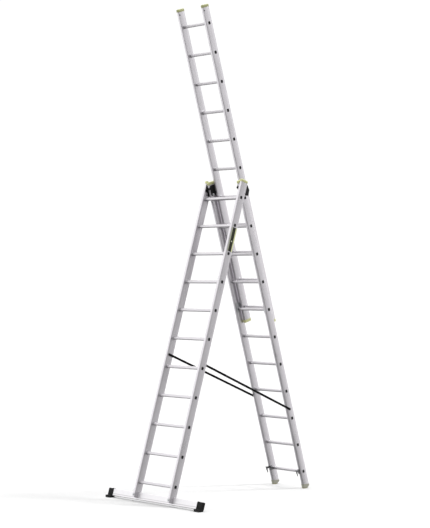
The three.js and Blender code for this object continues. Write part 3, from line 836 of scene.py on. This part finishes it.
def add_shoe_rims(material):
    """The thicker rim of each rubber shoe where the stabiliser bar enters it."""
    through, up = FRONT.place_of(middle("stabiliser_bar"))
    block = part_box("stabiliser_shoe_right")[1].x - SHOE_LENGTH
    levels = [(0.0, 0.0), (SHOE_RIM_ROUND, SHOE_RIM_RISE),
              (SHOE_RIM_LENGTH - SHOE_RIM_ROUND, SHOE_RIM_RISE), (SHOE_RIM_LENGTH, 0.0)]
    for name, side in SIDES.items():
        rings = []
        for along, rise in levels:
            outline = rounded_outline(SHOE_DEPTH + 2 * rise, SHOE_HEIGHT + 2 * rise, SHOE_CORNER)
            x = side * (block + SHOE_RIM_START + along)
            rings.append([FRONT.at(x, through + t, up + u) for t, u in outline])
        piece(f"shoe_rim_{name}", loft(rings), material, FRONT.body)


def add_foot_inserts(material):
    """Plastic inserts that close the hollow front stiles just above the stabiliser bar."""
    _, bar_up = FRONT.place_of(middle("stabiliser_bar"))
    low = bar_up + INSERT_ABOVE_BAR_MIDDLE
    gap = STILE_WALL + PLUG_GAP
    for name, side in SIDES.items():
        rings = [stile_ring(FRONT, side, low + rise, gap) for rise in (0.0, INSERT_HEIGHT)]
        piece(f"foot_insert_{name}", loft(rings), material, FRONT.body)


def add_cap_pins(material):
    """A dark knob on the narrow front face of each rear stile, just below its top cap."""
    up = REAR.rung(1) + CAP_ABOVE_TOP_RUNG - CAP_PIN_BELOW_CAP
    for name, side in SIDES.items():
        centre = REAR.at(side * (REAR.centre - CAP_PIN_INWARD), -STILE_DEPTH / 2, up)
        pin = turned(centre, -REAR.through, dome(*CAP_PIN))
        piece(f"rear_cap_pin_{name}", pin, material, REAR.body)


def add_cap_bolts(material):
    """A flat bolt head on both side faces of each fly stile, just below its top cap."""
    up = FLY.rung(1) + CAP_ABOVE_TOP_RUNG - CAP_BOLT_BELOW_CAP
    through = -STILE_DEPTH / 2 + CAP_BOLT_FROM_FRONT
    for name, side in SIDES.items():
        heads = [turned(FLY.at(side * face, through, up), side * way * ACROSS, dome(*CAP_BOLT))
                 for face, way in ((FLY.outer, 1), (FLY.inner, -1))]
        piece(f"fly_cap_bolt_{name}", joined(heads), material, FLY.body)


def add_hinge_fittings(material):
    """Pivot nuts on the hinge pins, and the rivets of the front bracket plates."""
    _, pivot_up = FRONT.place_of(PIVOT)
    pin_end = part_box("front_hinge_bracket_right")[0].x
    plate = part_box("front_hinge_bracket_right")[1].x - BRACKET_PLATE
    for name, side in SIDES.items():
        inward = -side * ACROSS
        nut = hex_bolt(Vector((side * pin_end, PIVOT[1], PIVOT[2])), inward, *PIVOT_NUT)
        piece(f"pivot_nut_{name}", nut, material, FRONT.body)
        rivets = [turned(FRONT.at(side * plate, through, pivot_up + rise), inward, dome(*BRACKET_RIVET))
                  for through, rise in BRACKET_RIVET_PLACES]
        piece(f"front_bracket_rivets_{name}", joined(rivets), material, FRONT.body)


def add_bracket_ribs(material):
    """Moulded stiffening ribs on the inner cheek of each rear hinge bracket, clear of the fly stile."""
    pivot_through, pivot_up = REAR.place_of(PIVOT)
    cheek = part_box("rear_hinge_bracket_right")[0].x + CHEEK_FROM_LIP
    outline = rounded_outline(CHEEK_RIB_WIDTH, CHEEK_RIB_LENGTH, CHEEK_RIB_CORNER, steps=3)
    up = pivot_up + CHEEK_RIB_ABOVE_PIVOT
    for name, side in SIDES.items():
        ribs = []
        for number in range(CHEEK_RIBS):
            through = pivot_through + CHEEK_RIB_START + CHEEK_RIB_PITCH * number
            ribs.append(loft([[REAR.at(side * (cheek + rise), through + share * t, up + share * u)
                               for t, u in outline] for rise, share in CHEEK_RIB_LEVELS]))
        piece(f"bracket_ribs_{name}", joined(ribs), material, REAR.body)


def add_hook_rivets(material):
    """Rivets of the fly hooks, and the flush rivets of the rear hooks, which the fly hooks pass."""
    fly_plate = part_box("fly_hook_right")[1].x
    rear_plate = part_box("rear_hook_right")[0].x
    fly_head = dome(*FLY_HOOK_RIVET)
    rear_head = dome(*REAR_HOOK_RIVET)
    for name, side in SIDES.items():
        outward = side * ACROSS
        fly = [turned(FLY.at(side * fly_plate, FLY_HOOK_RIVETS_THROUGH, up), outward, fly_head)
               for up in FLY_HOOK_RIVETS_UP]
        piece(f"fly_hook_rivets_{name}", joined(fly), material, FLY.body)
        rear = [turned(REAR.at(side * rear_plate, REAR_HOOK_RIVETS_THROUGH, up), -outward, rear_head)
                for up in REAR_HOOK_RIVETS_UP]
        piece(f"rear_hook_rivets_{name}", joined(rear), material, REAR.body)


def add_label(centre_up):
    """The plain sticker on the outside of the right front stile, between the second and third rungs."""
    outline = rounded_outline(LABEL_WIDTH, LABEL_LENGTH, LABEL_CORNER)
    rings = []
    for lift in (0.0, LABEL_THICKNESS):
        rings.append([FRONT.at(FRONT.outer + lift, LABEL_REARWARD + through, centre_up + up)
                      for through, up in outline])
    piece("label", loft(rings), sticker(FRONT, centre_up), FRONT.body)


# ---- straps ----
def strap_ends(node):
    """Middle of each end of a strap's CAD solid, front end first."""
    corners = sorted({tuple(round(c, 5) for c in v.co) for v in frame["nodes"][node].data.vertices},
                     key=lambda corner: corner[1])
    half = len(corners) // 2
    means = []
    for group in (corners[:half], corners[half:]):
        means.append(sum((Vector(corner) for corner in group), Vector()) / len(group))
    return means


def webbing(start, end, thickness, width):
    """A ribbon with rounded edges, very slightly uneven along its length."""
    along = (end - start).normalized()
    over = along.cross(ACROSS)
    length = (end - start).length
    steps = max(8, round(length / WEBBING_STEP))
    section = rounded_outline(thickness, width, thickness * 0.45, steps=3)
    rings = []
    for i in range(steps + 1):
        distance = length * i / steps
        uneven = 1 + sum(size * math.sin(distance * rate) for size, rate in WEBBING_WAVES)
        centre = start + along * distance
        rings.append([centre + ACROSS * x + over * (y * uneven) for x, y in section])
    return loft(rings)


def add_strap(name, side, steel):
    node = f"strap_{name}"
    start, end = strap_ends(node)
    along = (end - start).normalized()
    material = woven_webbing(f"webbing_{name}", math.atan2(along.z, along.y))
    folds = []
    for point, inward in ((start, along), (end, -along)):
        folds.append(webbing(point, point + inward * WEBBING_FOLD, FOLD_THICKNESS, WEBBING_WIDTH))
    ribbon = joined([webbing(start, end, WEBBING_THICKNESS, WEBBING_WIDTH), *folds])
    strap = piece(f"webbing_{name}", ribbon, material, None)
    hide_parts(node)
    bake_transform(strap)
    stud_profile = dome(STUD_RADIUS, STUD_HEAD)
    for section, point, outward, tag in ((FRONT, start + along * STUD_FROM_END, -side, "front"),
                                         (REAR, end - along * STUD_FROM_END, side, "rear")):
        face = side * (section.inner if section is FRONT else section.outer)
        base = Vector((face, point.y, point.z))
        body = [(STUD_RADIUS * 0.5, 0), (STUD_RADIUS * 0.5, STUD_STEM)]
        head = turned(base + ACROSS * outward * STUD_STEM, ACROSS * outward, stud_profile)
        stud = joined([turned(base, ACROSS * outward, body), head])
        piece(f"strap_stud_{tag}_{name}", stud, steel, section.body)


# ---- studio ----
def add_camera():
    data = bpy.data.cameras.new("camera")
    data.lens = CAMERA_LENS
    data.clip_end = 4 * BACKDROP_RADIUS
    camera = bpy.data.objects.new("camera", data)
    camera.location = CAMERA_PLACE
    camera.rotation_euler = (math.pi / 2 + CAMERA_TILT_UP, 0, CAMERA_YAW)
    bpy.context.scene.collection.objects.link(camera)
    bpy.context.scene.camera = camera


def seen_only_by_camera(stage):
    stage.visible_diffuse = False
    stage.visible_glossy = False
    stage.visible_transmission = False
    stage.visible_shadow = False


def add_floor():
    bpy.ops.mesh.primitive_circle_add(vertices=96, radius=BACKDROP_RADIUS, fill_type="NGON")
    floor = bpy.context.object
    floor.name = "floor"
    recipe = Recipe("floor")
    place = recipe.place()
    mottle = recipe.noise(place, (40, 40, 40))
    tone = recipe.colours(mottle, (FLOOR_TONE,) * 3, (FLOOR_TONE + FLOOR_MOTTLE,) * 3)
    normal = recipe.bump(mottle, 0.0001)
    floor.data.materials.append(recipe.finish(tone, 0.9, normal, Specular_IOR_Level=0.0))
    seen_only_by_camera(floor)


def add_backdrop():
    radius = BACKDROP_RADIUS * BACKDROP_SHARE
    bpy.ops.mesh.primitive_uv_sphere_add(segments=48, ring_count=24, radius=radius)
    backdrop = bpy.context.object
    backdrop.name = "backdrop"
    recipe = Recipe("backdrop")
    recipe.shader.inputs["Base Color"].default_value = (0, 0, 0, 1)
    recipe.shader.inputs["Emission Color"].default_value = (1, 1, 1, 1)
    recipe.shader.inputs["Emission Strength"].default_value = BACKDROP_GLOW
    backdrop.data.materials.append(recipe.material)
    seen_only_by_camera(backdrop)


def add_room_light():
    """The studio round the ladder: bright all round and above, grey behind the viewer, dark below."""
    world = bpy.data.worlds.new("studio")
    world.use_nodes = True
    bpy.context.scene.world = world
    nodes, links = world.node_tree.nodes, world.node_tree.links
    background = nodes["Background"]
    background.inputs["Color"].default_value = (1, 1, 1, 1)

    def math_node(operation, first, second):
        node = nodes.new("ShaderNodeMath")
        node.operation = operation
        for socket, value in zip(node.inputs, (first, second)):
            if isinstance(value, bpy.types.NodeSocket):
                links.new(value, socket)
            else:
                socket.default_value = value
        return node.outputs[0]

    def step(value, low, high, to_low, to_high):
        node = nodes.new("ShaderNodeMapRange")
        node.interpolation_type = "SMOOTHSTEP"
        links.new(value, node.inputs["Value"])
        node.inputs["From Min"].default_value = low
        node.inputs["From Max"].default_value = high
        node.inputs["To Min"].default_value = to_low
        node.inputs["To Max"].default_value = to_high
        return node.outputs["Result"]

    source = nodes.new("ShaderNodeTexCoord")
    axes = nodes.new("ShaderNodeSeparateXYZ")
    links.new(source.outputs["Generated"], axes.inputs[0])
    facing = nodes.new("ShaderNodeVectorMath")
    facing.operation = "DOT_PRODUCT"
    links.new(source.outputs["Generated"], facing.inputs[0])
    facing.inputs[1].default_value = SHADE_TOWARDS
    level = step(axes.outputs["Z"], *HORIZON, FLOOR_LIGHT, FRONT_LIGHT)
    shade = step(axes.outputs["Z"], *SHADE_RISE, SHADE_LOW, SHADE_HIGH)
    in_shade = step(facing.outputs["Value"], *SHADE_FACING, 0.0, 1.0)
    kept = math_node("SUBTRACT", 1.0, math_node("MULTIPLY", in_shade, math_node("SUBTRACT", 1.0, shade)))
    overhead = step(axes.outputs["Z"], *TOP_RISE, 0.0, TOP_LIGHT)
    total = math_node("ADD", math_node("MULTIPLY", level, kept), overhead)
    links.new(total, background.inputs["Strength"])


def add_sun():
    """A wide soft key from the right and rear, whose faint shadow falls to the left."""
    data = bpy.data.lights.new("key", "SUN")
    data.energy = KEY_STRENGTH
    data.angle = KEY_SPREAD
    lamp = bpy.data.objects.new("key", data)
    lamp.rotation_euler = (-Vector(KEY_FROM)).to_track_quat("-Z", "Y").to_euler()
    bpy.context.scene.collection.objects.link(lamp)


# ---- assembly ----
add_camera()
add_floor()
add_backdrop()
add_room_light()
add_sun()
bpy.context.scene.view_settings.view_transform = "Standard"

steel = plated_steel("zinc_steel", ZINC_TONES)
dark_steel = plated_steel("dull_steel", DULL_STEEL_TONES)
black = moulded_plastic("black_plastic", BLACK_TONES, roughness=0.5, grain=900, gloss=0.25)
yellow = moulded_plastic("yellow_plastic", YELLOW_TONES, roughness=0.42, grain=700, gloss=0.5)
# the darker copy of the yellow plastic, painted shade for the fly caps
olive = moulded_plastic("shaded_yellow_plastic", SHADED_YELLOW_TONES, roughness=0.42, grain=700, gloss=0.5)
foot = foot_plastic()
tyre = rubber()
smooth = smoothing_group()

for section in SECTIONS:
    stile_material = stile_aluminium(section)
    rung_material = rung_aluminium(section)
    for side_name in SIDES:
        refine(f"{section.name}_stile_{side_name}", stile_material, smooth, STILE_EDGE_RADIUS)
    for rung_number in range(1, RUNGS + 1):
        refine(f"{section.name}_rung_{rung_number:02d}", rung_material, smooth, 0)
    add_rung_ends(section, steel, black)

for side_name in SIDES:
    refine(f"fly_foot_{side_name}", yellow, smooth, FOOT_EDGE_RADIUS)
    refine(f"rear_foot_{side_name}", foot, smooth, FOOT_EDGE_RADIUS)
    refine(f"stabiliser_shoe_{side_name}", tyre, smooth, SHOE_EDGE_RADIUS)
    refine(f"front_hinge_bracket_{side_name}", black, smooth, FRONT_BRACKET_EDGE_RADIUS)
    refine(f"rear_hinge_bracket_{side_name}", black, smooth, REAR_BRACKET_EDGE_RADIUS)
    refine(f"fly_hook_{side_name}", steel, smooth, HOOK_EDGE_RADIUS)
    refine(f"rear_hook_{side_name}", dark_steel, smooth, HOOK_EDGE_RADIUS)
refine("stabiliser_bar", bar_aluminium(), smooth, BAR_EDGE_RADIUS)

for section in SECTIONS:
    # the fly caps get the painted-shade copy of the yellow plastic
    add_top_caps(section, olive if section is FLY else yellow)
add_bar_bolts(steel)
add_shoe_rims(tyre)
add_foot_inserts(black)
add_cap_pins(black)
add_cap_bolts(black)
add_hinge_fittings(steel)
add_bracket_ribs(black)
add_hook_rivets(steel)
add_label((FRONT.rung(2) + FRONT.rung(3)) / 2)
for side_name, side_sign in SIDES.items():
    add_strap(side_name, side_sign, steel)
